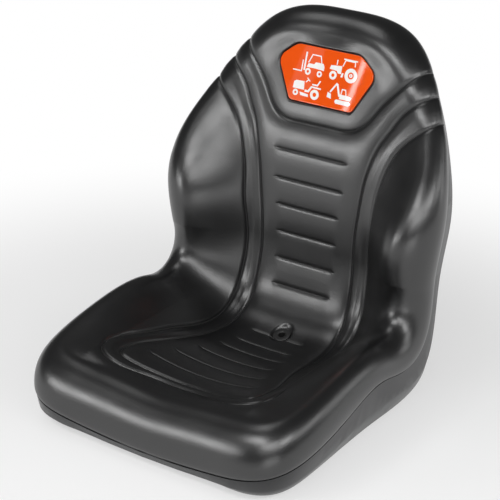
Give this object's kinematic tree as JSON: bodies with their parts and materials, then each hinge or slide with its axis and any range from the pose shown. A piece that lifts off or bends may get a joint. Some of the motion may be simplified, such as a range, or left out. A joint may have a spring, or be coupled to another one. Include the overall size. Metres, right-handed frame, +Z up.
{
  "type": "ride-on mower seat",
  "caption": "high-back bucket seat for a ride-on mower or small tractor, a one-piece moulded foam cushion with channelled panels on a pressed pan, with a headrest badge, a drain and bolt-down mounting",
  "frame": {"origin": "middle of the four mounting holes, on the underside of the pan's bosses", "axes": "+Z is up, the sitter faces -Y, +X is to the sitter's left, and X = 0 is the mirror plane"},
  "size_m": [0.4898, 0.5419, 0.5498],
  "materials": {
    "vinyl": "satin black grained vinyl over moulded foam",
    "pan": "satin black paint",
    "badge": "gloss orange",
    "sleeve": "matt black",
    "nuts": "zinc plated"
  },
  "bodies": {
    "root": {"cushion": "vinyl", "seat_pan": "pan", "badge": "badge", "drain_sleeve": "sleeve", "mounting_nuts": "nuts"}
  },
  "joints": []
}
